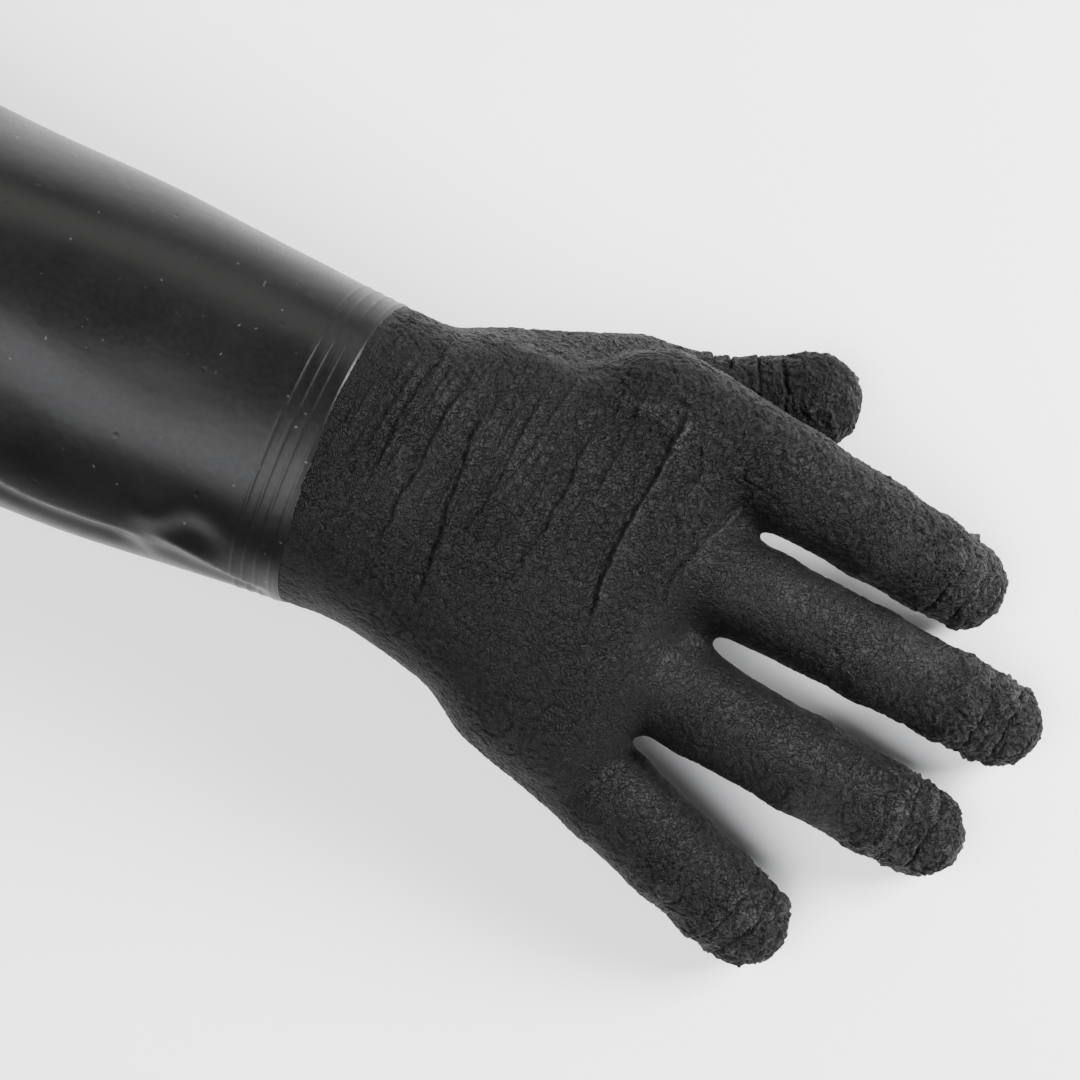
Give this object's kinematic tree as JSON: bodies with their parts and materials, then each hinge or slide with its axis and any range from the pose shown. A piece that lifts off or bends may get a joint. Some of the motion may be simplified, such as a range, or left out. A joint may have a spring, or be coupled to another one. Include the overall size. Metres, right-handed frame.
{
  "type": "long insulated rubber glove",
  "caption": "Long-sleeved heavy rubber work glove for cold handling, right hand, with a rough crinkled grip skin, smooth sleeve and knitted liner; wrist, fingers and thumb bend.",
  "frame": {"origin": "bottom centre of the glove's bounding box, on the surface that it lies on, palm down", "axes": "+X from the cuff to the fingertips, +Y toward the thumb, +Z out of the back of the hand"},
  "size_m": [0.4508, 0.1686, 0.134],
  "materials": {
    "smooth_rubber": "semi-gloss",
    "crinkle_rubber": "matte crinkled",
    "liner_knit": "knitted",
    "hem_binding": "stitched tape"
  },
  "bodies": {
    "sleeve": {"sleeve_shell": "smooth_rubber", "sleeve_liner": "liner_knit", "liner_hem": "hem_binding", "cuff_bead": "smooth_rubber"},
    "hand": {"hand_shell": "crinkle_rubber", "hand_liner": "liner_knit"},
    "index_base": {"index_base_shell": "crinkle_rubber", "index_base_liner": "liner_knit"},
    "index_middle": {"index_middle_shell": "crinkle_rubber", "index_middle_liner": "liner_knit"},
    "index_tip": {"index_tip_shell": "crinkle_rubber", "index_tip_liner": "liner_knit"},
    "middle_base": {"middle_base_shell": "crinkle_rubber", "middle_base_liner": "liner_knit"},
    "middle_middle": {"middle_middle_shell": "crinkle_rubber", "middle_middle_liner": "liner_knit"},
    "middle_tip": {"middle_tip_shell": "crinkle_rubber", "middle_tip_liner": "liner_knit"},
    "ring_base": {"ring_base_shell": "crinkle_rubber", "ring_base_liner": "liner_knit"},
    "ring_middle": {"ring_middle_shell": "crinkle_rubber", "ring_middle_liner": "liner_knit"},
    "ring_tip": {"ring_tip_shell": "crinkle_rubber", "ring_tip_liner": "liner_knit"},
    "little_base": {"little_base_shell": "crinkle_rubber", "little_base_liner": "liner_knit"},
    "little_middle": {"little_middle_shell": "crinkle_rubber", "little_middle_liner": "liner_knit"},
    "little_tip": {"little_tip_shell": "crinkle_rubber", "little_tip_liner": "liner_knit"},
    "thumb_base": {"thumb_base_shell": "crinkle_rubber", "thumb_base_liner": "liner_knit"},
    "thumb_tip": {"thumb_tip_shell": "crinkle_rubber", "thumb_tip_liner": "liner_knit"}
  },
  "joints": [
    {"name": "wrist_bend", "type": "hinge", "parent": "sleeve", "child": "hand", "pos_m": [0.0356, 0.00679, 0.0575], "axis": [0, 1, 0], "range_deg": [-30, 35], "stiffness_Nm_per_rad": 4},
    {"name": "index_knuckle", "type": "hinge", "parent": "hand", "child": "index_base", "pos_m": [0.13559, 0.04779, 0.04471], "axis": [0.1357, 0.9907, 0], "range_deg": [-10, 50], "stiffness_Nm_per_rad": 0.9},
    {"name": "index_middle_bend", "type": "hinge", "parent": "index_base", "child": "index_middle", "pos_m": [0.1604, 0.04439, 0.0346], "axis": [0.1357, 0.9907, 0], "range_deg": [0, 55], "stiffness_Nm_per_rad": 0.5},
    {"name": "index_tip_bend", "type": "hinge", "parent": "index_middle", "child": "index_tip", "pos_m": [0.17785, 0.042, 0.02316], "axis": [0.1357, 0.9907, 0], "range_deg": [0, 33], "stiffness_Nm_per_rad": 0.3},
    {"name": "middle_knuckle", "type": "hinge", "parent": "hand", "child": "middle_base", "pos_m": [0.14159, 0.01429, 0.04509], "axis": [0.0837, 0.9965, 0], "range_deg": [-10, 50], "stiffness_Nm_per_rad": 0.9},
    {"name": "middle_middle_bend", "type": "hinge", "parent": "middle_base", "child": "middle_middle", "pos_m": [0.174, 0.01157, 0.03515], "axis": [0.0837, 0.9965, 0], "range_deg": [0, 55], "stiffness_Nm_per_rad": 0.5},
    {"name": "middle_tip_bend", "type": "hinge", "parent": "middle_middle", "child": "middle_tip", "pos_m": [0.19728, 0.00961, 0.02376], "axis": [0.0837, 0.9965, 0], "range_deg": [0, 33], "stiffness_Nm_per_rad": 0.3},
    {"name": "ring_knuckle", "type": "hinge", "parent": "hand", "child": "ring_base", "pos_m": [0.13659, -0.01971, 0.04398], "axis": [0.134, 0.991, 0], "range_deg": [-10, 50], "stiffness_Nm_per_rad": 0.9},
    {"name": "ring_middle_bend", "type": "hinge", "parent": "ring_base", "child": "ring_middle", "pos_m": [0.16692, -0.02381, 0.03463], "axis": [0.134, 0.991, 0], "range_deg": [0, 55], "stiffness_Nm_per_rad": 0.5},
    {"name": "ring_tip_bend", "type": "hinge", "parent": "ring_middle", "child": "ring_tip", "pos_m": [0.18919, -0.02682, 0.02367], "axis": [0.134, 0.991, 0], "range_deg": [0, 33], "stiffness_Nm_per_rad": 0.3},
    {"name": "little_knuckle", "type": "hinge", "parent": "hand", "child": "little_base", "pos_m": [0.12159, -0.05271, 0.03681], "axis": [0.3714, 0.9285, 0], "range_deg": [-10, 50], "stiffness_Nm_per_rad": 0.9},
    {"name": "little_middle_bend", "type": "hinge", "parent": "little_base", "child": "little_middle", "pos_m": [0.14291, -0.06123, 0.02979], "axis": [0.3714, 0.9285, 0], "range_deg": [0, 55], "stiffness_Nm_per_rad": 0.5},
    {"name": "little_tip_bend", "type": "hinge", "parent": "little_middle", "child": "little_tip", "pos_m": [0.1578, -0.06719, 0.02162], "axis": [0.3714, 0.9285, 0], "range_deg": [0, 33], "stiffness_Nm_per_rad": 0.3},
    {"name": "thumb_spread", "type": "hinge", "parent": "hand", "child": "thumb_base", "pos_m": [0.0876, 0.05679, 0.02], "axis": [0, 0, 1], "range_deg": [-12, 35], "stiffness_Nm_per_rad": 1.2},
    {"name": "thumb_bend", "type": "hinge", "parent": "thumb_base", "child": "thumb_tip", "pos_m": [0.10809, 0.06279, 0.0155], "axis": [-0.3714, 0.9285, 0], "range_deg": [0, 40], "stiffness_Nm_per_rad": 0.5}
  ],
  "couplings": [
    {"joint": "index_tip_bend", "follows": "index_middle_bend", "ratio": 0.6},
    {"joint": "middle_tip_bend", "follows": "middle_middle_bend", "ratio": 0.6},
    {"joint": "ring_tip_bend", "follows": "ring_middle_bend", "ratio": 0.6},
    {"joint": "little_tip_bend", "follows": "little_middle_bend", "ratio": 0.6}
  ]
}
